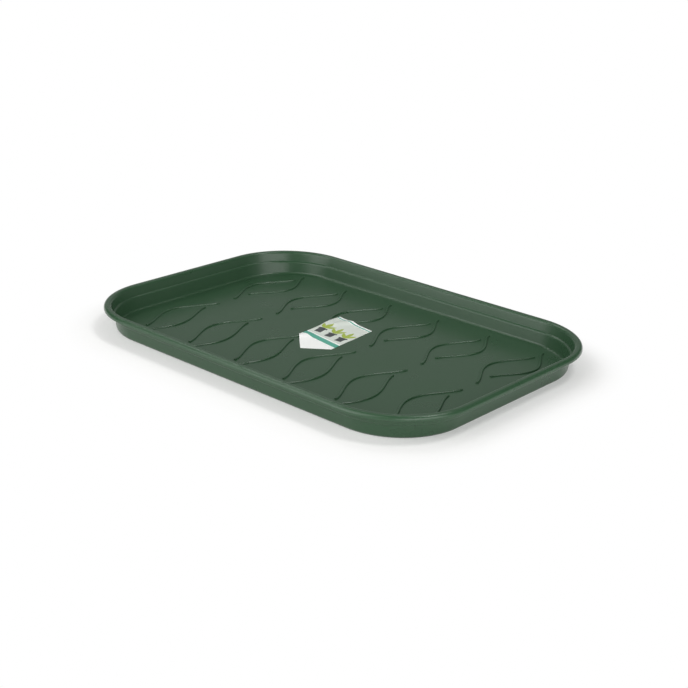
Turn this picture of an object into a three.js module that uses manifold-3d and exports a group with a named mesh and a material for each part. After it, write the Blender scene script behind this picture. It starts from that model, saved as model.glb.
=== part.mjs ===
// Plant saucer: a shallow rectangular tray with round corners, moulded in one piece from a thin
// sheet. Its floor carries raised leaf ribs, its wall has one step, and its rim turns down into a
// short skirt that is open below. A cut paper label is stuck to the floor and lies over the ends
// of some ribs. Millimetres, +Z up. The origin is the middle of the underside.

import * as THREE from 'three';
import { mergeVertices } from 'three/addons/utils/BufferGeometryUtils.js';
import Module from 'manifold-3d';

const wasm = await Module();
wasm.setup();

// Tray, measured over the rim
const trayLength = 520;
const trayWidth = 360;
const trayHeight = 30.2;
const cornerRadius = 93;
const sheet = 1.8; // thickness of floor, wall and rim

// Rim and its skirt
const rimWidth = 8.8; // from the outer edge to the wall's inner face
const rimRound = 4.4; // on the outer edge
const rimInnerRound = 3.8;
const skirtDrop = 5;
const skirtRound = 0.3; // on the skirt's free edge

// Inner face of the wall, from the rim down: each lean is a step inwards
const upperWallLean = 2.2;
const stepHeight = 18.2; // top of the step, above the table
const stepWidth = 2.3;
const stepDrop = 0.9;
const stepRound = 2.6; // on the ledge's edge
const stepCrease = 0.5; // in the corner above the ledge
const lowerWallLean = 2.6;
const floorFillet = 3.2;

// Leaf ribs: two waves to a leaf, in columns along the tray and one row on each side of the middle
const leafPitch = 76.5;
const leafShift = -2; // of the columns along the tray, from an even place about its middle
const leafSwing = 23; // how far a rib swings out from the leaf's axis
const ribFullness = 0.75; // below 1 a wave is broader than a plain cosine
const ribWidth = 3;
const ribHeight = 1.5;
const ribRoot = 0.8; // depth to which a rib is sunk into the floor
// inner: from the tray's middle line; margin: from the floor's edge
const leafRows = [
  { side: -1, swing: -1, inner: 6.5, margin: 42 },
  { side: -1, swing: 1, inner: 29.5, margin: 9 },
  { side: 1, swing: -1, inner: 19, margin: 36 },
  { side: 1, swing: 1, inner: 44.5, margin: 19 },
];

// Label: a tag with one pointed end, its sides set at a slant to each other
const labelWidth = 59.5;
const labelSide = 79; // length of each long side
const labelPoint = 27; // reach of the point past the shoulders
const labelSlant = 14.5; // how much nearer the point the right shoulder lies
const labelTurn = THREE.MathUtils.degToRad(5);
const labelShoulder = new THREE.Vector2(-18.1, -16); // middle of the shoulders on the floor
const labelThickness = 0.3;
const labelGap = 0.3; // air between the label and a rib under it

// Fineness of the round stretches
const cornerSteps = 6;
const roundSteps = 3;
const ribSteps = 12;
const ribSides = 4;

const floorInset = rimWidth + upperWallLean + stepWidth + lowerWallLean;
const floorLength = trayLength - 2 * floorInset;
const floorWidth = trayWidth - 2 * floorInset;
const wallFilletLimit = 0.75; // share of a stretch that one rounding may use up

const mouldedGreen = new THREE.MeshStandardMaterial({ color: 0x3c6345, roughness: 0.5, metalness: 0 });
const labelPaper = new THREE.MeshStandardMaterial({ color: 0xf2f3ef, roughness: 0.45, metalness: 0 });

function toSolid(geometry) {
  geometry.deleteAttribute('normal');
  geometry.deleteAttribute('uv');
  const merged = mergeVertices(geometry);
  return new wasm.Manifold(new wasm.Mesh({
    numProp: 3,
    vertProperties: new Float32Array(merged.attributes.position.array),
    triVerts: new Uint32Array(merged.index.array),
  }));
}

function toMesh(name, solid, material) {
  const { vertProperties, triVerts } = solid.getMesh();
  const geometry = new THREE.BufferGeometry();
  geometry.setAttribute('position', new THREE.BufferAttribute(vertProperties, 3));
  geometry.setIndex(new THREE.BufferAttribute(triVerts, 1));
  geometry.computeVertexNormals();
  const mesh = new THREE.Mesh(geometry, material);
  mesh.name = name;
  return mesh;
}

function joined(solids) {
  return solids.reduce((whole, solid) => whole.add(solid));
}

// Points of the rounded rectangle that lies a given inset inside the rim's outer edge.
function outlineAt(inset) {
  const reachX = trayLength / 2 - cornerRadius;
  const reachY = trayWidth / 2 - cornerRadius;
  const radius = cornerRadius - inset;
  const outline = new THREE.Path();
  [[1, 1], [-1, 1], [-1, -1], [1, -1]].forEach(([sideX, sideY], quarter) => {
    const start = quarter * Math.PI / 2;
    outline.absarc(sideX * reachX, sideY * reachY, radius, start, start + Math.PI / 2);
  });
  return outline.getPoints(cornerSteps);
}

// Corners of the sheet's upper face in (inset, height), from the floor out to the skirt's free edge.
function upperCorners() {
  const stepFootInset = rimWidth + upperWallLean + stepWidth;
  const onFloor = new THREE.Vector2(floorInset + 2 * floorFillet, sheet);
  return [
    { at: onFloor, round: 0 },
    { at: new THREE.Vector2(floorInset, sheet), round: floorFillet },
    { at: new THREE.Vector2(stepFootInset, stepHeight - stepDrop), round: stepRound },
    { at: new THREE.Vector2(rimWidth + upperWallLean, stepHeight), round: stepCrease },
    { at: new THREE.Vector2(rimWidth, trayHeight), round: rimInnerRound },
    { at: new THREE.Vector2(0, trayHeight), round: rimRound },
    { at: new THREE.Vector2(0, trayHeight - skirtDrop), round: skirtRound },
  ];
}

// The same corners on the sheet's under face, one sheet thickness away.
function underCorners(corners) {
  const directions = corners.slice(1).map((corner, i) => corner.at.clone().sub(corners[i].at).normalize());
  const normals = directions.map((way) => new THREE.Vector2(-way.y, way.x));
  return corners.map((corner, i) => {
    const before = normals[Math.max(i - 1, 0)];
    const after = normals[Math.min(i, normals.length - 1)];
    const shift = before.clone().add(after).multiplyScalar(sheet / (1 + before.dot(after)));
    const bend = Math.sign(before.cross(after));
    const round = bend === 0 ? corner.round : Math.max(corner.round - bend * sheet, skirtRound);
    return { at: corner.at.clone().add(shift), round };
  });
}

// A line through the corners with each of them rounded off.
function roundedLine(corners) {
  const line = new THREE.Path();
  line.moveTo(corners[0].at.x, corners[0].at.y);
  for (let i = 1; i < corners.length - 1; i += 1) {
    const { at, round } = corners[i];
    const back = corners[i - 1].at.clone().sub(at);
    const ahead = corners[i + 1].at.clone().sub(at);
    const turn = Math.PI - Math.abs(back.angleTo(ahead));
    const limit = wallFilletLimit * Math.min(back.length(), ahead.length());
    const cut = Math.min(round * Math.tan(turn / 2), limit);
    const entry = back.setLength(cut).add(at);
    const exit = ahead.setLength(cut).add(at);
    line.lineTo(entry.x, entry.y);
    line.quadraticCurveTo(at.x, at.y, exit.x, exit.y);
  }
  const last = corners[corners.length - 1].at;
  line.lineTo(last.x, last.y);
  return line.getPoints(roundSteps);
}

// The sheet: its section carried round the rounded rectangle, closed by the two faces of the floor.
function sheetGeometry() {
  const upper = upperCorners();
  const section = roundedLine([...underCorners(upper), ...upper.reverse()]);
  const rings = section.map((point) => outlineAt(point.x));
  const count = rings[0].length;
  const positions = rings.flatMap((ring, i) => ring.flatMap((point) => [point.x, point.y, section[i].y]));
  const index = [];
  for (let i = 0; i < rings.length - 1; i += 1) {
    for (let j = 0; j < count; j += 1) {
      const next = (j + 1) % count;
      const [a, b] = [i * count + j, i * count + next];
      const [c, d] = [b + count, a + count];
      index.push(a, b, c, a, c, d);
    }
  }
  const top = (rings.length - 1) * count;
  for (const [a, b, c] of THREE.ShapeUtils.triangulateShape(rings[0], [])) {
    index.push(a, c, b, top + a, top + b, top + c);
  }
  const geometry = new THREE.BufferGeometry();
  geometry.setAttribute('position', new THREE.Float32BufferAttribute(positions, 3));
  geometry.setIndex(index);
  return geometry;
}

// The line of one rib on the floor: out from the leaf's axis and back again.
class RibLine extends THREE.Curve {
  constructor(axis, row) {
    super();
    this.axis = axis;
    this.row = row;
  }

  getPoint(t, target = new THREE.Vector3()) {
    const { side, swing, inner, margin } = this.row;
    const outer = floorWidth / 2 - margin;
    const wave = ((1 - Math.cos(2 * Math.PI * t)) / 2) ** ribFullness;
    return target.set(this.axis + swing * leafSwing * wave, side * (inner + t * (outer - inner)), sheet);
  }
}

// A rib as a half-round bead with domed ends, larger all round by the given growth.
function ribSolid(line, growth) {
  const halfWidth = ribWidth / 2 + growth;
  const height = ribHeight + growth;
  // Along a level path the section's x axis points down and its y axis lies level.
  const section = new THREE.Shape();
  section.moveTo(ribRoot, -halfWidth);
  for (let i = 0; i <= ribSides; i += 1) {
    const angle = Math.PI * i / ribSides;
    section.lineTo(-height * Math.sin(angle), -halfWidth * Math.cos(angle));
  }
  section.lineTo(ribRoot, halfWidth);
  const bead = new THREE.ExtrudeGeometry(section, { steps: ribSteps, bevelEnabled: false, extrudePath: line });
  const ends = [0, 1].map((t) => {
    const dome = new THREE.SphereGeometry(1, 2 * ribSides, ribSides);
    dome.rotateX(Math.PI / 2);
    dome.scale(halfWidth, halfWidth, height);
    const { x, y, z } = line.getPoint(t);
    return toSolid(dome.translate(x, y, z));
  });
  return joined([toSolid(bead), ...ends]);
}

function ribLines() {
  const columns = Math.max(1, Math.floor(floorLength / leafPitch));
  const axes = Array.from({ length: columns }, (_, i) => leafShift + (i - (columns - 1) / 2) * leafPitch);
  return axes.flatMap((axis) => leafRows.map((row) => new RibLine(axis, row)));
}

// An upright block over a flat outline, from the given height upwards.
function block(points, low, height) {
  const geometry = new THREE.ExtrudeGeometry(new THREE.Shape(points), { depth: height, bevelEnabled: false });
  return toSolid(geometry.translate(0, 0, low));
}

function traySolid(lines) {
  const flatFloor = block(outlineAt(floorInset + floorFillet), 0, trayHeight);
  const ribs = joined(lines.map((line) => ribSolid(line, 0)));
  return toSolid(sheetGeometry()).add(ribs.intersect(flatFloor));
}

function labelOutline() {
  const halfWidth = labelWidth / 2;
  const left = new THREE.Vector2(-halfWidth, labelSlant / 2);
  const right = new THREE.Vector2(halfWidth, -labelSlant / 2);
  const side = new THREE.Vector2(0, labelSide);
  const point = new THREE.Vector2(0, -labelPoint);
  const corners = [point, right, right.clone().add(side), left.clone().add(side), left];
  return corners.map((corner) => corner.rotateAround(new THREE.Vector2(), labelTurn).add(labelShoulder));
}

// The label lies flat on the floor and rises over each rib that it crosses.
function labelSolid(lines) {
  const outline = labelOutline();
  const flat = block(outline, sheet, labelThickness);
  const over = block(outline, sheet, ribHeight + labelGap + 2 * labelThickness);
  const rises = joined(lines.map((line) => ribSolid(line, labelGap + labelThickness)));
  const hollows = joined(lines.map((line) => ribSolid(line, labelGap)));
  return flat.add(rises.intersect(over)).subtract(hollows);
}

const lines = ribLines();
const saucer = new THREE.Group();
saucer.name = 'plant_saucer';
saucer.add(toMesh('tray', traySolid(lines), mouldedGreen));
saucer.add(toMesh('label', labelSolid(lines), labelPaper));

export default saucer;
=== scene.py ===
"""Looks of a plant saucer: a shallow rectangular tray moulded in one piece from green polypropylene,
with raised leaf ribs on its floor and a cut paper label stuck on it. Lengths are millimetres where no
other unit is named, and metres in the meshes. +Z is up, and the origin is the middle of the underside."""

import logging
import math
from dataclasses import dataclass, field
from enum import Enum
from typing import Sequence

import bmesh
import bpy
from mathutils import Matrix, Vector
from mathutils.kdtree import KDTree


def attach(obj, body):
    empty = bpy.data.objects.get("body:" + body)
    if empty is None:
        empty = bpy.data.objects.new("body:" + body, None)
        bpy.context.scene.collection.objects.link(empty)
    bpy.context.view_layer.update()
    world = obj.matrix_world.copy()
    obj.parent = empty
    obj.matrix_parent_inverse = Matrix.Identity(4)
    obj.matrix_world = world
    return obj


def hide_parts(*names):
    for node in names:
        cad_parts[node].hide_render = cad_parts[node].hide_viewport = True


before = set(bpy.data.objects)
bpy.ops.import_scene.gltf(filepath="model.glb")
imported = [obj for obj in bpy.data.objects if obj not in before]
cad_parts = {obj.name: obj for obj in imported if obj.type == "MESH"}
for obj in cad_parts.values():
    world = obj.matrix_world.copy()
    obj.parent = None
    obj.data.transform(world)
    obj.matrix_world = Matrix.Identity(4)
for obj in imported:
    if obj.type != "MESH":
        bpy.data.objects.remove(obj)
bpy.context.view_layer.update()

MM = 0.001
BODY = "root"
LOG = logging.getLogger("plant_saucer")

Colour = tuple[float, float, float, float]
WHITE: Colour = (1.0, 1.0, 1.0, 1.0)
NOISE_RANGE = (0.3, 0.7)  # nearly all values of a noise texture lie in it


def linear(hex_colour: str) -> Colour:
    """Turns an sRGB hex colour into the linear colour that shaders take.

    Args:
        hex_colour: Six hex digits, such as "2c4a35".

    Returns:
        Linear red, green and blue, and an alpha of 1.
    """
    shares = [int(hex_colour[i:i + 2], 16) / 255 for i in (0, 2, 4)]
    values = [s / 12.92 if s <= 0.04045 else ((s + 0.055) / 1.055) ** 2.4 for s in shares]
    return values[0], values[1], values[2], 1.0


def add_node(tree: bpy.types.NodeTree, kind: str, inputs: dict | None = None,
             **settings) -> bpy.types.Node:
    """Adds one node to a tree, with its settings, values and links.

    Args:
        tree: Tree of a material, a world or a Geometry Nodes group.
        kind: Blender's type name of the node.
        inputs: For an input's name or place, a value to set or an output to link.
        **settings: Properties of the node itself.

    Returns:
        The new node.
    """
    node = tree.nodes.new(kind)
    for name, value in settings.items():
        setattr(node, name, value)
    for key, value in (inputs or {}).items():
        if isinstance(value, bpy.types.NodeSocket):
            tree.links.new(value, node.inputs[key])
        else:
            node.inputs[key].default_value = value
    return node


def calculate(tree: bpy.types.NodeTree, operation: str,
              *values: float | bpy.types.NodeSocket) -> bpy.types.NodeSocket:
    """Adds one Math node to a tree.

    Args:
        tree: Tree of a material, a world or a Geometry Nodes group.
        operation: Blender's name of what the node works out.
        *values: Numbers to set or outputs to link, in the order of its inputs.

    Returns:
        The node's result.
    """
    return add_node(tree, "ShaderNodeMath", dict(enumerate(values)), operation=operation).outputs[0]


def bearing(azimuth: float, elevation: float) -> Vector:
    """Finds the way from the tray towards a camera or lamp.

    Args:
        azimuth: Degrees from the front, towards the right.
        elevation: Degrees above the floor.

    Returns:
        Unit vector.
    """
    a, e = math.radians(azimuth), math.radians(elevation)
    return Vector((math.sin(a) * math.cos(e), -math.cos(a) * math.cos(e), math.sin(e)))


@dataclass(frozen=True)
class Corner:
    """A corner of a drawn line and the radius that rounds it off."""

    at: Vector
    radius: float = 0.0


def rounded(corners: Sequence[Corner], steps: int, closed: bool) -> list[Vector]:
    """Draws a line through corners with each of them rounded off by an arc.

    Args:
        corners: Corners in order. On an open line the first and last stay sharp.
        steps: Straight pieces in each arc.
        closed: Whether the line runs from the last corner back to the first.

    Returns:
        Points of the line.
    """
    arc_share = 0.75  # most of a side that one arc may use up
    line = []
    for i, corner in enumerate(corners):
        if not closed and i in (0, len(corners) - 1):
            line.append(corner.at.copy())
            continue
        back = corners[i - 1].at - corner.at
        ahead = corners[(i + 1) % len(corners)].at - corner.at
        half_turn = (math.pi - back.angle(ahead)) / 2
        longest = arc_share * min(back.length, ahead.length)
        cut = min(corner.radius * math.tan(half_turn), longest)
        entry = corner.at + back.normalized() * cut
        leave = corner.at + ahead.normalized() * cut
        for step in range(steps + 1):
            t = step / steps
            middle = 2 * math.cos(half_turn) * t * (1 - t)
            whole = (1 - t) ** 2 + middle + t ** 2
            line.append((entry * (1 - t) ** 2 + corner.at * middle + leave * t ** 2) / whole)
    return line


def new_piece(name: str, shape: bmesh.types.BMesh) -> bpy.types.Object:
    """Turns a finished shape into an object in the scene and frees the shape.

    Args:
        name: Name of the object and of its mesh.
        shape: The finished shape.

    Returns:
        The object.
    """
    mesh = bpy.data.meshes.new(name)
    shape.to_mesh(mesh)
    shape.free()
    piece = bpy.data.objects.new(name, mesh)
    bpy.context.scene.collection.objects.link(piece)
    return piece


@dataclass(frozen=True)
class MouldedPolypropylene:
    """Polypropylene coloured leaf green in the mass and injection moulded in an eroded steel mould.
    To the eye it is a dark, even green with a soft satin sheen, a little patchy in gloss where the
    melt flowed, with a fine grain that breaks up highlights."""

    colour: str = "2a4630"
    flow_colour: str = "2f4c34"
    roughness: tuple[float, float] = (0.26, 0.34)
    grain: float = 1.1  # mm; real grain is about 0.3 mm, drawn coarser so that it shows
    grain_depth: float = 0.012  # mm
    flow: float = 55.0  # mm across one patch of gloss
    ior: float = 1.45

    def material(self) -> bpy.types.Material:
        """Builds the material.

        Returns:
            The material, on Object coordinates.
        """
        material = bpy.data.materials.new("moulded_polypropylene_green")
        material.use_nodes = True
        tree = material.node_tree
        shader = tree.nodes["Principled BSDF"]
        place = add_node(tree, "ShaderNodeTexCoord").outputs["Object"]
        flow = add_node(tree, "ShaderNodeTexNoise", {
            "Vector": place, "Scale": 1 / (self.flow * MM), "Detail": 3.0, "Roughness": 0.55})
        grain = add_node(tree, "ShaderNodeTexNoise", {
            "Vector": place, "Scale": 1 / (self.grain * MM), "Detail": 2.0, "Roughness": 0.6})
        colour = add_node(tree, "ShaderNodeMix", {
            "Factor": flow.outputs["Fac"], "A": linear(self.colour), "B": linear(self.flow_colour)},
            data_type="RGBA")
        gloss = add_node(tree, "ShaderNodeMapRange", {
            "Value": flow.outputs["Fac"], "From Min": NOISE_RANGE[0], "From Max": NOISE_RANGE[1],
            "To Min": self.roughness[0], "To Max": self.roughness[1]})
        bump = add_node(tree, "ShaderNodeBump", {
            "Height": grain.outputs["Fac"], "Strength": 1.0, "Distance": self.grain_depth * MM})
        tree.links.new(colour.outputs["Result"], shader.inputs["Base Color"])
        tree.links.new(gloss.outputs["Result"], shader.inputs["Roughness"])
        tree.links.new(bump.outputs["Normal"], shader.inputs["Normal"])
        shader.inputs["IOR"].default_value = self.ior
        return material


@dataclass
class TraySheet:
    """The tray's sheet of even thickness: floor, stepped wall, rim and turned-down skirt."""

    length: float = 520.0
    width: float = 360.0
    height: float = 30.2
    corner_radius: float = 93.0
    thickness: float = 1.8
    rim_width: float = 8.8
    rim_round: float = 4.4
    rim_inner_round: float = 3.8
    skirt_drop: float = 5.0
    skirt_round: float = 0.3
    upper_wall_lean: float = 2.2
    step_height: float = 18.2
    step_width: float = 2.3
    step_drop: float = 0.9
    step_round: float = 2.6
    step_crease: float = 0.5
    lower_wall_lean: float = 2.6
    floor_fillet: float = 3.2
    corner_steps: int = 30
    round_steps: int = 6

    @property
    def floor_inset(self) -> float:
        """Distance from the rim's outer edge in to the edge of the floor."""
        return self.rim_width + self.upper_wall_lean + self.step_width + self.lower_wall_lean

    @property
    def floor_length(self) -> float:
        """Length of the flat floor inside the wall."""
        return self.length - 2 * self.floor_inset

    @property
    def floor_width(self) -> float:
        """Width of the flat floor inside the wall."""
        return self.width - 2 * self.floor_inset

    def outline(self, inset: float) -> list[Vector]:
        """Draws the rounded rectangle at one inset from the rim's outer edge.

        Args:
            inset: How far inside the outer edge the outline lies.

        Returns:
            Points of the outline, counter-clockwise.
        """
        radius = self.corner_radius - inset
        points = []
        for quarter, (side_x, side_y) in enumerate(((1, 1), (-1, 1), (-1, -1), (1, -1))):
            centre = Vector((side_x * (self.length / 2 - self.corner_radius),
                             side_y * (self.width / 2 - self.corner_radius)))
            for step in range(self.corner_steps + 1):
                angle = (quarter + step / self.corner_steps) * math.pi / 2
                points.append(centre + radius * Vector((math.cos(angle), math.sin(angle))))
        return points

    def upper_corners(self) -> list[Corner]:
        """Lists the corners of the upper face.

        Returns:
            Corners in (inset, height), from the floor to the skirt's edge.
        """
        step_foot = self.rim_width + self.upper_wall_lean + self.step_width
        step_top = self.rim_width + self.upper_wall_lean
        return [
            Corner(Vector((self.floor_inset + 2 * self.floor_fillet, self.thickness))),
            Corner(Vector((self.floor_inset, self.thickness)), self.floor_fillet),
            Corner(Vector((step_foot, self.step_height - self.step_drop)), self.step_round),
            Corner(Vector((step_top, self.step_height)), self.step_crease),
            Corner(Vector((self.rim_width, self.height)), self.rim_inner_round),
            Corner(Vector((0.0, self.height)), self.rim_round),
            Corner(Vector((0.0, self.height - self.skirt_drop)), self.skirt_round),
        ]

    def under_corners(self, upper: Sequence[Corner]) -> list[Corner]:
        """Moves the corners of the upper face to the under face, one thickness away.

        Args:
            upper: Corners of the upper face.

        Returns:
            Corners of the under face, in the same order.
        """
        ways = [(b.at - a.at).normalized() for a, b in zip(upper, upper[1:])]
        normals = [Vector((-way.y, way.x)) for way in ways]
        under = []
        for i, corner in enumerate(upper):
            before = normals[max(i - 1, 0)]
            after = normals[min(i, len(normals) - 1)]
            shift = (before + after) * self.thickness / (1 + before.dot(after))
            bend = before.cross(after)
            change = -math.copysign(self.thickness, bend) if bend else 0.0
            under.append(Corner(corner.at + shift, max(corner.radius + change, self.skirt_round)))
        return under

    def build(self) -> bpy.types.Object:
        """Carries the section round the outline and closes it with the two faces of the floor.

        Returns:
            The tray without its ribs.
        """
        upper = self.upper_corners()
        section = rounded([*self.under_corners(upper), *reversed(upper)], self.round_steps, closed=False)
        shape = bmesh.new()
        rings = []
        for point in section:
            ring = [shape.verts.new((p.x * MM, p.y * MM, point.y * MM)) for p in self.outline(point.x)]
            rings.append(ring)
        for low, high in zip(rings, rings[1:]):
            for i in range(len(low)):
                j = (i + 1) % len(low)
                shape.faces.new((low[i], low[j], high[j], high[i]))
        shape.faces.new(reversed(rings[0]))
        shape.faces.new(rings[-1])
        bmesh.ops.recalc_face_normals(shape, faces=shape.faces[:])
        return new_piece("saucer_tray", shape)


class FloorHalf(Enum):
    """Half of the floor, as the sign of its Y."""

    FRONT = -1
    BACK = 1


class LeafEdge(Enum):
    """Edge of a leaf that a rib draws, as the sign of its X."""

    LEFT = -1
    RIGHT = 1


@dataclass(frozen=True)
class RibRow:
    """One row of like ribs, a rib for each leaf along the tray."""

    half: FloorHalf
    edge: LeafEdge
    inner: float  # from the tray's middle line to the rib's inner end
    margin: float  # from the rib's outer end to the edge of the floor


@dataclass
class LeafRibs:
    """The raised ribs on the floor, two to a leaf, each a wave out from the leaf's axis and back."""

    sheet: TraySheet
    pitch: float = 76.5
    shift: float = -2.0  # of the leaves along the tray, from an even place about its middle
    swing: float = 23.0
    fullness: float = 0.75  # below 1 the wave is broader than a plain cosine
    width: float = 3.0
    height: float = 1.5
    roundness: float = 0.8  # of the bead's section: 1 is a half-ellipse, near 0 is a square bar
    sink: float = 0.15  # how far the bead's foot reaches into the floor
    end_round: float = 1.3
    least_end: float = 0.08  # share of the bead's size that is left at its very end
    sharp_angle: float = 40.0  # degrees between faces from which an edge of the moulding is sharp
    steps: int = 90
    bead_steps: int = 14
    rows: tuple[RibRow, ...] = (
        RibRow(FloorHalf.FRONT, LeafEdge.LEFT, 6.5, 42.0),
        RibRow(FloorHalf.FRONT, LeafEdge.RIGHT, 29.5, 9.0),
        RibRow(FloorHalf.BACK, LeafEdge.LEFT, 19.0, 36.0),
        RibRow(FloorHalf.BACK, LeafEdge.RIGHT, 44.5, 19.0),
    )

    @property
    def columns(self) -> int:
        """Number of leaves along the tray."""
        return int(self.sheet.floor_length // self.pitch)

    def ends(self, row: RibRow) -> tuple[float, float]:
        """Finds where the ribs of a row end.

        Args:
            row: The row.

        Returns:
            Y of the inner end and of the outer end.
        """
        return row.half.value * row.inner, row.half.value * (self.sheet.floor_width / 2 - row.margin)

    def centre_line(self, row: RibRow, column: int, spacing: float) -> list[Vector]:
        """Draws the line of one rib on the floor.

        Args:
            row: Row of the rib.
            column: Place of its leaf along the tray, from 0.
            spacing: Distance along Y between points.

        Returns:
            Points of the line.
        """
        axis = self.shift + (column - (self.columns - 1) / 2) * self.pitch
        inner, outer = self.ends(row)
        count = max(2, round(abs(outer - inner) / spacing))
        line = []
        for step in range(count + 1):
            t = step / count
            wave = ((1 - math.cos(2 * math.pi * t)) / 2) ** self.fullness
            line.append(Vector((axis + row.edge.value * self.swing * wave, inner + t * (outer - inner))))
        return line

    def wave_curve(self, tree: bpy.types.NodeTree, size: bpy.types.NodeOutputs) -> bpy.types.NodeSocket:
        """Adds the nodes that draw a rib's centre line and set the bead's size along it.

        Args:
            tree: Tree to add them to.
            size: Sizes that the tree is given.

        Returns:
            The line.
        """
        # Points crowd towards the line's ends so that these can be rounded.
        line = add_node(tree, "GeometryNodeCurvePrimitiveLine")
        line = add_node(tree, "GeometryNodeResampleCurve", {
            "Curve": line.outputs[0], "Count": size["Steps"]})
        factor = add_node(tree, "GeometryNodeSplineParameter").outputs["Factor"]
        crowd = calculate(tree, "COSINE", calculate(tree, "MULTIPLY", factor, math.pi))
        along = calculate(tree, "MULTIPLY_ADD", crowd, -0.5, 0.5)
        wave = calculate(tree, "COSINE", calculate(tree, "MULTIPLY", along, 2 * math.pi))
        wave = calculate(tree, "MAXIMUM", calculate(tree, "MULTIPLY_ADD", wave, -0.5, 0.5), 0.0)
        wave = calculate(tree, "POWER", wave, size["Fullness"])
        across = calculate(tree, "MULTIPLY", wave, size["Swing"])
        reach = add_node(tree, "ShaderNodeMapRange", {
            "Value": along, "To Min": size["Inner End"], "To Max": size["Outer End"]})
        place = add_node(tree, "ShaderNodeCombineXYZ", {
            "X": across, "Y": reach.outputs["Result"], "Z": size["Floor"]})
        line = add_node(tree, "GeometryNodeSetPosition", {
            "Geometry": line.outputs[0], "Position": place.outputs[0]})
        line = add_node(tree, "GeometryNodeSetCurveNormal", {"Curve": line.outputs[0]}, mode="Z_UP")

        # The bead shrinks to a rounded end over the last stretch of the line.
        run = add_node(tree, "GeometryNodeSplineParameter").outputs["Length"]
        whole = add_node(tree, "GeometryNodeSplineLength").outputs["Length"]
        near = calculate(tree, "MINIMUM", run, calculate(tree, "SUBTRACT", whole, run))
        gone = add_node(tree, "ShaderNodeMapRange", {
            "Value": near, "From Max": size["End Round"], "To Min": 1.0, "To Max": 0.0})
        fall = calculate(tree, "POWER", gone.outputs["Result"], 2.0)
        fall = calculate(tree, "SQRT", calculate(tree, "SUBTRACT", 1.0, fall))
        fall = calculate(tree, "MAXIMUM", fall, self.least_end)
        line = add_node(tree, "GeometryNodeSetCurveRadius", {"Curve": line.outputs[0], "Radius": fall})
        return line.outputs[0]

    def bead_curve(self, tree: bpy.types.NodeTree, size: bpy.types.NodeOutputs) -> bpy.types.NodeSocket:
        """Adds the nodes that draw the section of a rib's bead, closed below the floor.

        Args:
            tree: Tree to add them to.
            size: Sizes that the tree is given.

        Returns:
            The section. Along a level line its Y axis points down.
        """
        bead = add_node(tree, "GeometryNodeCurvePrimitiveLine")
        bead = add_node(tree, "GeometryNodeResampleCurve", {
            "Curve": bead.outputs[0], "Count": size["Bead Steps"]})
        factor = add_node(tree, "GeometryNodeSplineParameter").outputs["Factor"]
        angle = calculate(tree, "MULTIPLY", factor, math.pi)
        cosine = calculate(tree, "COSINE", angle)
        side = calculate(tree, "POWER", calculate(tree, "ABSOLUTE", cosine), size["Roundness"])
        side = calculate(tree, "MULTIPLY", side, calculate(tree, "SIGN", cosine))
        side = calculate(tree, "MULTIPLY", calculate(tree, "MULTIPLY", side, 0.5), size["Width"])
        arch = calculate(tree, "MAXIMUM", calculate(tree, "SINE", angle), 0.0)
        arch = calculate(tree, "POWER", arch, size["Roundness"])
        tall = calculate(tree, "ADD", size["Height"], size["Sink"])
        down = calculate(tree, "SUBTRACT", size["Sink"], calculate(tree, "MULTIPLY", arch, tall))
        place = add_node(tree, "ShaderNodeCombineXYZ", {"X": side, "Y": down})
        bead = add_node(tree, "GeometryNodeSetPosition", {
            "Geometry": bead.outputs[0], "Position": place.outputs[0]})
        bead = add_node(tree, "GeometryNodeSetSplineCyclic", {"Geometry": bead.outputs[0], "Cyclic": True})
        return bead.outputs[0]

    def node_group(self) -> bpy.types.NodeTree:
        """Builds the tree that raises one row of ribs from the floor of the tray that it is given.

        Returns:
            The Geometry Nodes tree, with an input for each size.
        """
        tree = bpy.data.node_groups.new("leaf_rib_row", "GeometryNodeTree")
        sockets = {
            "Tray": "NodeSocketGeometry", "Leaves": "NodeSocketInt", "Pitch": "NodeSocketFloat",
            "Shift": "NodeSocketFloat", "Swing": "NodeSocketFloat", "Fullness": "NodeSocketFloat",
            "Inner End": "NodeSocketFloat", "Outer End": "NodeSocketFloat", "Floor": "NodeSocketFloat",
            "Width": "NodeSocketFloat", "Height": "NodeSocketFloat", "Roundness": "NodeSocketFloat",
            "Sink": "NodeSocketFloat", "End Round": "NodeSocketFloat",
            "Steps": "NodeSocketInt", "Bead Steps": "NodeSocketInt", "Finish": "NodeSocketMaterial",
        }
        for name, kind in sockets.items():
            tree.interface.new_socket(name, in_out="INPUT", socket_type=kind)
        tree.interface.new_socket("Tray", in_out="OUTPUT", socket_type="NodeSocketGeometry")
        size = add_node(tree, "NodeGroupInput").outputs
        rib = add_node(tree, "GeometryNodeCurveToMesh", {
            "Curve": self.wave_curve(tree, size), "Profile Curve": self.bead_curve(tree, size),
            "Fill Caps": True})

        # One rib for each leaf, in an even row about the shifted middle.
        first = calculate(tree, "MULTIPLY", calculate(tree, "SUBTRACT", size["Leaves"], 1.0), -0.5)
        first = calculate(tree, "MULTIPLY_ADD", first, size["Pitch"], size["Shift"])
        start = add_node(tree, "ShaderNodeCombineXYZ", {"X": first})
        step = add_node(tree, "ShaderNodeCombineXYZ", {"X": size["Pitch"]})
        leaves = add_node(tree, "GeometryNodeMeshLine", {
            "Count": size["Leaves"], "Start Location": start.outputs[0], "Offset": step.outputs[0]})
        ribs = add_node(tree, "GeometryNodeInstanceOnPoints", {
            "Points": leaves.outputs[0], "Instance": rib.outputs[0]})
        ribs = add_node(tree, "GeometryNodeRealizeInstances", {0: ribs.outputs[0]})

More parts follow.
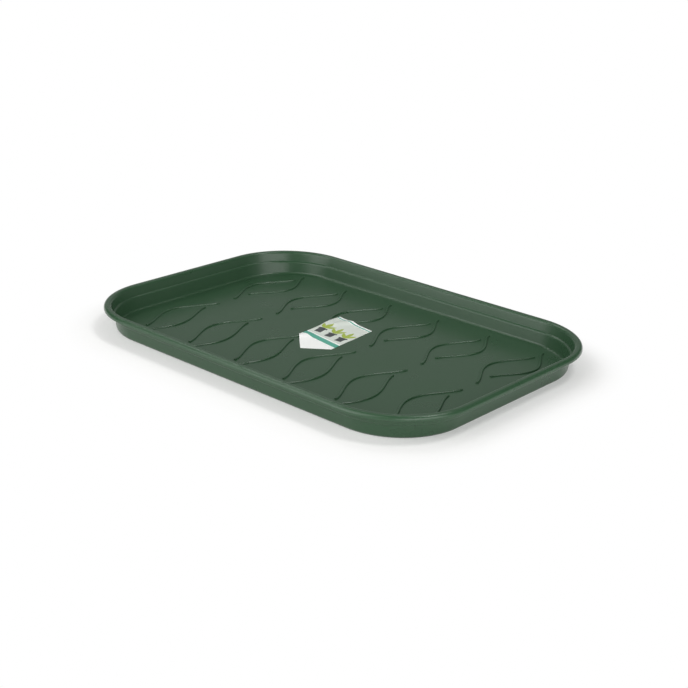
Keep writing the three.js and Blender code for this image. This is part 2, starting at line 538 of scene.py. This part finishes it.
        # The ribs and the tray are made one.
        whole = add_node(tree, "GeometryNodeMeshBoolean", {"Mesh 2": ribs.outputs[0]},
                         operation="UNION", solver="EXACT")
        tree.links.new(size["Tray"], whole.inputs["Mesh 2"])
        whole = add_node(tree, "GeometryNodeRealizeInstances", {0: whole.outputs[0]})
        whole = add_node(tree, "GeometryNodeSetMaterial", {
            "Geometry": whole.outputs[0], "Material": size["Finish"]})
        add_node(tree, "NodeGroupOutput", {"Tray": whole.outputs[0]})
        return tree

    def mould(self, tray: bpy.types.Object, finish: bpy.types.Material) -> None:
        """Raises all ribs from the floor of the tray and leaves it a plain mesh.

        Args:
            tray: Object that holds the tray's sheet.
            finish: Material of the whole moulding.
        """
        tree = self.node_group()
        names = {item.name: item.identifier for item in tree.interface.items_tree if item.in_out == "INPUT"}
        for row in self.rows:
            inner, outer = self.ends(row)
            values = {
                "Leaves": self.columns, "Pitch": self.pitch * MM, "Shift": self.shift * MM,
                "Swing": row.edge.value * self.swing * MM, "Fullness": self.fullness,
                "Inner End": inner * MM, "Outer End": outer * MM, "Floor": self.sheet.thickness * MM,
                "Width": self.width * MM, "Height": self.height * MM, "Roundness": self.roundness,
                "Sink": self.sink * MM, "End Round": self.end_round * MM,
                "Steps": self.steps + 1, "Bead Steps": self.bead_steps + 1, "Finish": finish,
            }
            modifier = tray.modifiers.new(f"ribs_{row.half.name}_{row.edge.name}".lower(), "NODES")
            modifier.node_group = tree
            for name, value in values.items():
                modifier[names[name]] = value
        evaluated = tray.evaluated_get(bpy.context.evaluated_depsgraph_get())
        mesh = bpy.data.meshes.new_from_object(evaluated)
        tray.modifiers.clear()
        tray.data = mesh
        mesh.shade_smooth()
        mesh.set_sharp_from_angle(angle=math.radians(self.sharp_angle))


class PrintForm(Enum):
    """Outline of a printed shape."""

    BAR = "bar"
    LEAF = "leaf"


@dataclass(frozen=True)
class PrintedShape:
    """One flat shape of the print, in millimetres from the middle of the label's shoulders."""

    form: PrintForm
    colour: str
    centre: tuple[float, float]
    half: tuple[float, float]
    turn: float = 0.0  # degrees


@dataclass(frozen=True)
class CoatedLabelPaper:
    """White paper with a smooth coating, printed and stuck down. To the eye it is a clean white with
    a soft gloss, a little uneven where the fibres lie under the coating, and crisp flat print. The
    print is a pale panel, two plain bands and a row of potted sprouts."""

    paper: str = "f3f4f1"
    band: str = "4fa28d"
    panel: str = "cfd6cd"
    pot: str = "3a3f40"
    leaf: str = "9db03f"
    roughness: tuple[float, float] = (0.32, 0.42)
    fibre: float = 2.5  # mm; real fibres are finer, drawn coarser so that they show
    fibre_depth: float = 0.01  # mm
    ior: float = 1.5
    sprouts: tuple[float, ...] = (-18.5, 0.0, 18.5)  # mm from the label's middle line
    pot_line: float = 28.0  # mm from the shoulders to the middles of the pots

    def print_shapes(self, slope: float) -> list[PrintedShape]:
        """Lists the shapes of the print, from the lowest layer to the top one.

        Args:
            slope: Slope of the shoulders and of the top edge, in label axes.

        Returns:
            The shapes.
        """
        slant = math.degrees(math.atan(slope))
        shapes = [
            PrintedShape(PrintForm.BAR, self.panel, (0.0, 45.0), (40.0, 27.0), slant),
            PrintedShape(PrintForm.BAR, self.band, (0.0, 10.5), (40.0, 4.2), slant),
            PrintedShape(PrintForm.BAR, self.band, (0.0, 75.0), (40.0, 1.1), slant),
        ]
        for x in self.sprouts:
            y = self.pot_line + slope * x
            for side in (-1, 1):
                shapes.append(PrintedShape(
                    PrintForm.LEAF, self.leaf, (x + 5.2 * side, y + 14.0), (2.4, 8.0), -35.0 * side))
            shapes += [
                PrintedShape(PrintForm.LEAF, self.leaf, (x, y + 17.5), (2.7, 10.0)),
                PrintedShape(PrintForm.BAR, self.pot, (x, y), (4.8, 5.4)),
                PrintedShape(PrintForm.BAR, self.pot, (x, y + 5.8), (6.2, 1.6)),
            ]
        return shapes

    def material(self, span: float, slope: float) -> bpy.types.Material:
        """Builds the material, with its print drawn in millimetres on the label's own UV map.

        Args:
            span: Millimetres that one unit of the UV map covers.
            slope: Slope of the label's shoulders and top edge.

        Returns:
            The material.
        """
        material = bpy.data.materials.new("coated_label_paper")
        material.use_nodes = True
        tree = material.node_tree
        shader = tree.nodes["Principled BSDF"]
        uv = add_node(tree, "ShaderNodeUVMap", uv_map="label").outputs[0]
        place = add_node(tree, "ShaderNodeMapping", {
            "Vector": uv, "Location": (-span / 2, -span / 2, 0.0), "Scale": (span, span, 1.0)}).outputs[0]
        colour = linear(self.paper)
        for shape in self.print_shapes(slope):
            spot = add_node(tree, "ShaderNodeMapping", {
                "Vector": place, "Location": (*shape.centre, 0.0), "Scale": (*shape.half, 1.0),
                "Rotation": (0.0, 0.0, math.radians(shape.turn))}, vector_type="TEXTURE")
            away = add_node(tree, "ShaderNodeVectorMath", {0: spot.outputs[0]}, operation="ABSOLUTE")
            x, y, _ = add_node(tree, "ShaderNodeSeparateXYZ", {0: away.outputs[0]}).outputs
            if shape.form is PrintForm.LEAF:
                reach = calculate(tree, "MULTIPLY_ADD", y, y, x)
            else:
                reach = calculate(tree, "MAXIMUM", x, y)
            inside = calculate(tree, "LESS_THAN", reach, 1.0)
            colour = add_node(tree, "ShaderNodeMix", {
                "Factor": inside, "A": colour, "B": linear(shape.colour)},
                data_type="RGBA").outputs["Result"]
        fibres = add_node(tree, "ShaderNodeTexNoise", {
            "Vector": place, "Scale": 1 / self.fibre, "Detail": 3.0, "Roughness": 0.6})
        gloss = add_node(tree, "ShaderNodeMapRange", {
            "Value": fibres.outputs["Fac"], "From Min": NOISE_RANGE[0], "From Max": NOISE_RANGE[1],
            "To Min": self.roughness[0], "To Max": self.roughness[1]})
        bump = add_node(tree, "ShaderNodeBump", {
            "Height": fibres.outputs["Fac"], "Strength": 1.0, "Distance": self.fibre_depth * MM})
        tree.links.new(colour, shader.inputs["Base Color"])
        tree.links.new(gloss.outputs["Result"], shader.inputs["Roughness"])
        tree.links.new(bump.outputs["Normal"], shader.inputs["Normal"])
        shader.inputs["IOR"].default_value = self.ior
        return material


@dataclass
class FloorLabel:
    """The die-cut label on the floor: a tag with one pointed end and slanting shoulders."""

    ribs: LeafRibs
    width: float = 59.5
    side: float = 79.0
    point: float = 27.0
    slant: float = 14.5
    turn: float = 5.0  # degrees
    shoulder: tuple[float, float] = (-18.1, -16.0)
    thickness: float = 0.18
    corner_round: float = 1.2
    corner_steps: int = 4
    cell: float = 1.5
    cut_tolerance: float = 1e-5
    drape: float = 6.5  # how softly the paper falls off beside a rib
    clearance: float = 0.03  # over the floor
    rib_clearance: float = 0.12  # over the crests of the ribs
    rib_spacing: float = 0.4  # along Y, between the points that stand for a rib
    span: float = 200.0  # millimetres that one unit of the UV map covers

    def outline(self) -> list[Corner]:
        """Lists the corners of the label.

        Returns:
            Corners in the label's own axes, from the point round to the left shoulder.
        """
        half = self.width / 2
        places = [
            (0.0, -self.point), (half, -self.slant / 2), (half, self.side - self.slant / 2),
            (-half, self.side + self.slant / 2), (-half, self.slant / 2),
        ]
        return [Corner(Vector(place), self.corner_round) for place in places]

    def rib_points(self) -> KDTree:
        """Collects points along the ribs.

        Returns:
            The points, ready to find how near a rib lies.
        """
        lines = [self.ribs.centre_line(row, column, self.rib_spacing)
                 for row in self.ribs.rows for column in range(self.ribs.columns)]
        points = [point for line in lines for point in line]
        tree = KDTree(len(points))
        for i, point in enumerate(points):
            tree.insert(point.to_3d(), i)
        tree.balance()
        return tree

    def build(self) -> bpy.types.Object:
        """Cuts the sheet into small cells and lays it over the floor and the ribs.

        Returns:
            The label, closed all round.
        """
        shape = bmesh.new()
        edge = rounded(self.outline(), self.corner_steps, closed=True)
        shape.faces.new([shape.verts.new(point.to_3d()) for point in edge])
        for axis in (Vector((1, 0, 0)), Vector((0, 1, 0))):
            reach = [vert.co.dot(axis) for vert in shape.verts]
            cuts = int((max(reach) - min(reach)) / self.cell)
            for i in range(1, cuts + 1):
                everything = shape.verts[:] + shape.edges[:] + shape.faces[:]
                bmesh.ops.bisect_plane(shape, geom=everything, plane_no=axis, dist=self.cut_tolerance,
                                       plane_co=axis * (min(reach) + i * self.cell))
        uv = shape.loops.layers.uv.new("label")
        for face in shape.faces:
            for loop in face.loops:
                loop[uv].uv = loop.vert.co.xy / self.span + Vector((0.5, 0.5))
        turn = Matrix.Rotation(math.radians(self.turn), 2)
        near = self.rib_points()
        low = self.ribs.sheet.thickness + self.clearance
        for vert in shape.verts:
            flat = turn @ vert.co.xy + Vector(self.shoulder)
            distance = near.find(flat.to_3d())[2]
            rise = (self.ribs.height + self.rib_clearance) * math.exp(-(distance / self.drape) ** 2)
            vert.co = Vector((flat.x, flat.y, low + rise)) * MM
        bmesh.ops.recalc_face_normals(shape, faces=shape.faces[:])
        if sum(face.normal.z for face in shape.faces) < 0:
            bmesh.ops.reverse_faces(shape, faces=shape.faces[:])
        for face in shape.faces:
            face.smooth = True
        label = new_piece("floor_label", shape)
        solid = label.modifiers.new("paper", "SOLIDIFY")
        solid.thickness = self.thickness * MM
        solid.offset = 1.0
        return label


@dataclass
class PhotoCamera:
    """Camera at the photograph's viewing angle."""

    azimuth: float = 41.988  # degrees from the front, towards the right
    elevation: float = 21.012
    roll: float = 1.573
    distance: float = 1482.655  # mm from the tray's middle, along the view
    shift_right: float = -9.646  # mm by which the tray's middle lies right of the view's axis
    shift_up: float = 0.335
    focal_pixels: float = 1277.678
    frame_pixels: float = 688.0
    sensor: float = 36.0

    def build(self) -> bpy.types.Object:
        """Creates the camera and makes it the scene's own.

        Returns:
            The camera.
        """
        turn, roll = math.radians(self.azimuth), math.radians(self.roll)
        back = bearing(self.azimuth, self.elevation)
        level = Vector((math.cos(turn), math.sin(turn), 0.0))
        upright = back.cross(level)
        right = level * math.cos(roll) + upright * math.sin(roll)
        up = upright * math.cos(roll) - level * math.sin(roll)
        place = (back * self.distance - right * self.shift_right - up * self.shift_up) * MM
        data = bpy.data.cameras.new("photo_camera")
        data.sensor_width = self.sensor
        data.lens = self.focal_pixels / self.frame_pixels * self.sensor
        camera = bpy.data.objects.new("photo_camera", data)
        camera.matrix_world = Matrix.Translation(place) @ Matrix((right, up, back)).transposed().to_4x4()
        bpy.context.scene.collection.objects.link(camera)
        bpy.context.scene.camera = camera
        return camera


@dataclass(frozen=True)
class SoftBox:
    """A soft studio lamp of even brightness that points at the tray."""

    name: str
    azimuth: float  # degrees from the front, towards the right
    elevation: float
    distance: float  # m
    size: tuple[float, float]  # m
    radiance: float  # 1 is as bright as white in the picture

    def build(self) -> bpy.types.Object:
        """Creates the lamp.

        Returns:
            The lamp.
        """
        data = bpy.data.lights.new(self.name, "AREA")
        data.shape = "RECTANGLE"
        data.size, data.size_y = self.size
        data.energy = self.radiance * math.pi * self.size[0] * self.size[1]
        lamp = bpy.data.objects.new(self.name, data)
        way = bearing(self.azimuth, self.elevation)
        lamp.location = way * self.distance
        lamp.rotation_euler = way.to_track_quat("Z", "Y").to_euler()
        bpy.context.scene.collection.objects.link(lamp)
        return lamp


@dataclass
class Studio:
    """Pale floor and backdrop, soft lamps round the tray and a dim room above them."""

    sheet: TraySheet = field(default_factory=TraySheet)
    floor_half: float = 80.0  # m; far enough that its edge lies close to the horizon
    floor_colour: str = "f2f2f0"
    shadow_share: float = 0.7  # share of the floor's real light and shadow that shows at the tray
    shadow_reach: float = 0.055  # m from the tray's outline over which that share fades to nothing
    room: float = 0.09  # brightness; 1 is white
    backdrop: tuple[float, float] = (3.0, 7.0)  # degrees up where its white starts to fade, and ends
    lamps: tuple[SoftBox, ...] = (
        SoftBox("soft_box_key", -15.0, 36.0, 2.5, (2.6, 2.1), 2.3),
        SoftBox("soft_box_left", -22.0, 11.7, 2.5, (1.9, 1.0), 2.5),
        SoftBox("soft_box_right", 70.0, 17.0, 2.5, (2.4, 1.45), 3.45),
        SoftBox("soft_box_back", 225.0, 26.0, 2.5, (2.6, 1.25), 0.28),
        SoftBox("soft_box_top", 120.0, 66.0, 2.5, (0.6, 0.6), 16.4),
        SoftBox("soft_box_rim_left", -114.0, 46.0, 2.5, (0.75, 0.5), 3.3),
        SoftBox("soft_box_rim_front", -76.0, 48.0, 2.5, (0.75, 0.5), 4.1),
        SoftBox("soft_box_rim_back", 208.0, 61.0, 2.5, (0.75, 0.5), 4.1),
    )

    def build_world(self) -> None:
        """Makes a low white backdrop along the horizon and an even dim room above it."""
        world = bpy.data.worlds.new("studio")
        bpy.context.scene.world = world
        world.use_nodes = True
        tree = world.node_tree
        way = add_node(tree, "ShaderNodeTexCoord").outputs["Generated"]
        rise = add_node(tree, "ShaderNodeSeparateXYZ", {0: way}).outputs["Z"]
        white, end = (math.sin(math.radians(angle)) for angle in self.backdrop)
        light = add_node(tree, "ShaderNodeMapRange", {
            "Value": rise, "From Min": white, "From Max": end, "To Min": 1.0, "To Max": self.room},
            interpolation_type="SMOOTHSTEP")
        shade = tree.nodes["Background"].inputs
        shade["Color"].default_value = WHITE
        tree.links.new(light.outputs["Result"], shade["Strength"])

    def build_floor(self) -> bpy.types.Object:
        """Lays the pale floor, which shows white but keeps the tray's shadow.

        Returns:
            The floor.
        """
        shape = bmesh.new()
        bmesh.ops.create_grid(shape, x_segments=1, y_segments=1, size=self.floor_half)
        floor = new_piece("studio_floor", shape)
        material = bpy.data.materials.new("studio_floor_paper")
        material.use_nodes = True
        tree = material.node_tree
        tree.nodes.clear()
        path = add_node(tree, "ShaderNodeLightPath").outputs
        seen = calculate(tree, "MAXIMUM", path["Is Camera Ray"], path["Is Glossy Ray"])
        seen = calculate(tree, "MAXIMUM", seen, path["Is Transmission Ray"])
        place = add_node(tree, "ShaderNodeTexCoord").outputs["Object"]
        away = add_node(tree, "ShaderNodeVectorMath", {0: place}, operation="ABSOLUTE")
        sides = (self.sheet.length, self.sheet.width)
        straight = [(side / 2 - self.sheet.corner_radius) * MM for side in sides]
        away = add_node(tree, "ShaderNodeVectorMath", {
            0: away.outputs[0], 1: (*straight, 0.0)}, operation="SUBTRACT")
        away = add_node(tree, "ShaderNodeVectorMath", {0: away.outputs[0]}, operation="MAXIMUM")
        away = add_node(tree, "ShaderNodeVectorMath", {0: away.outputs[0]}, operation="LENGTH")
        edge = self.sheet.corner_radius * MM
        share = add_node(tree, "ShaderNodeMapRange", {
            "Value": away.outputs["Value"], "From Min": edge, "From Max": edge + self.shadow_reach,
            "To Min": 1.0 - self.shadow_share, "To Max": 1.0}, interpolation_type="SMOOTHSTEP")
        share = calculate(tree, "MULTIPLY", seen, share.outputs["Result"])
        paper = add_node(tree, "ShaderNodeBsdfDiffuse", {"Color": linear(self.floor_colour)})
        glow = add_node(tree, "ShaderNodeEmission", {"Color": WHITE, "Strength": 1.0})
        both = add_node(tree, "ShaderNodeMixShader", {
            0: share, 1: paper.outputs[0], 2: glow.outputs[0]})
        add_node(tree, "ShaderNodeOutputMaterial", {"Surface": both.outputs[0]})
        floor.data.materials.append(material)
        return floor

    def build(self) -> None:
        """Sets up the room, the floor and the lamps."""
        bpy.context.scene.view_settings.view_transform = "Standard"
        self.build_world()
        self.build_floor()
        for lamp in self.lamps:
            lamp.build()


@dataclass
class PlantSaucer:
    """The whole saucer: the moulded tray with its ribs, and the label on its floor."""

    sheet: TraySheet = field(default_factory=TraySheet)
    plastic: MouldedPolypropylene = field(default_factory=MouldedPolypropylene)
    paper: CoatedLabelPaper = field(default_factory=CoatedLabelPaper)

    def build_tray(self, ribs: LeafRibs) -> bpy.types.Object:
        """Moulds the tray and puts it in the place of its CAD node.

        Args:
            ribs: Ribs on its floor.

        Returns:
            The tray.
        """
        tray = self.sheet.build()
        ribs.mould(tray, self.plastic.material())
        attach(tray, BODY)
        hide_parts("tray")
        return tray

    def build_label(self, ribs: LeafRibs) -> bpy.types.Object:
        """Lays the label on the floor and puts it in the place of its CAD node.

        Args:
            ribs: Ribs that it lies over.

        Returns:
            The label.
        """
        cut = FloorLabel(ribs)
        label = cut.build()
        label.data.materials.append(self.paper.material(cut.span, -cut.slant / cut.width))
        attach(label, BODY)
        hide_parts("label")
        return label

    def build(self) -> list[bpy.types.Object]:
        """Builds both pieces.

        Returns:
            The tray and the label.
        """
        ribs = LeafRibs(self.sheet)
        return [self.build_tray(ribs), self.build_label(ribs)]


def main() -> None:
    """Builds the saucer and its studio and reports each piece."""
    logging.basicConfig(level=logging.INFO, format="%(name)s: %(message)s")
    PhotoCamera().build()
    Studio().build()
    for piece in PlantSaucer().build():
        faces = len(piece.data.polygons)
        LOG.info("%s: %d faces, %s", piece.name, faces, piece.data.materials[0].name)


if __name__ == "__main__":
    main()
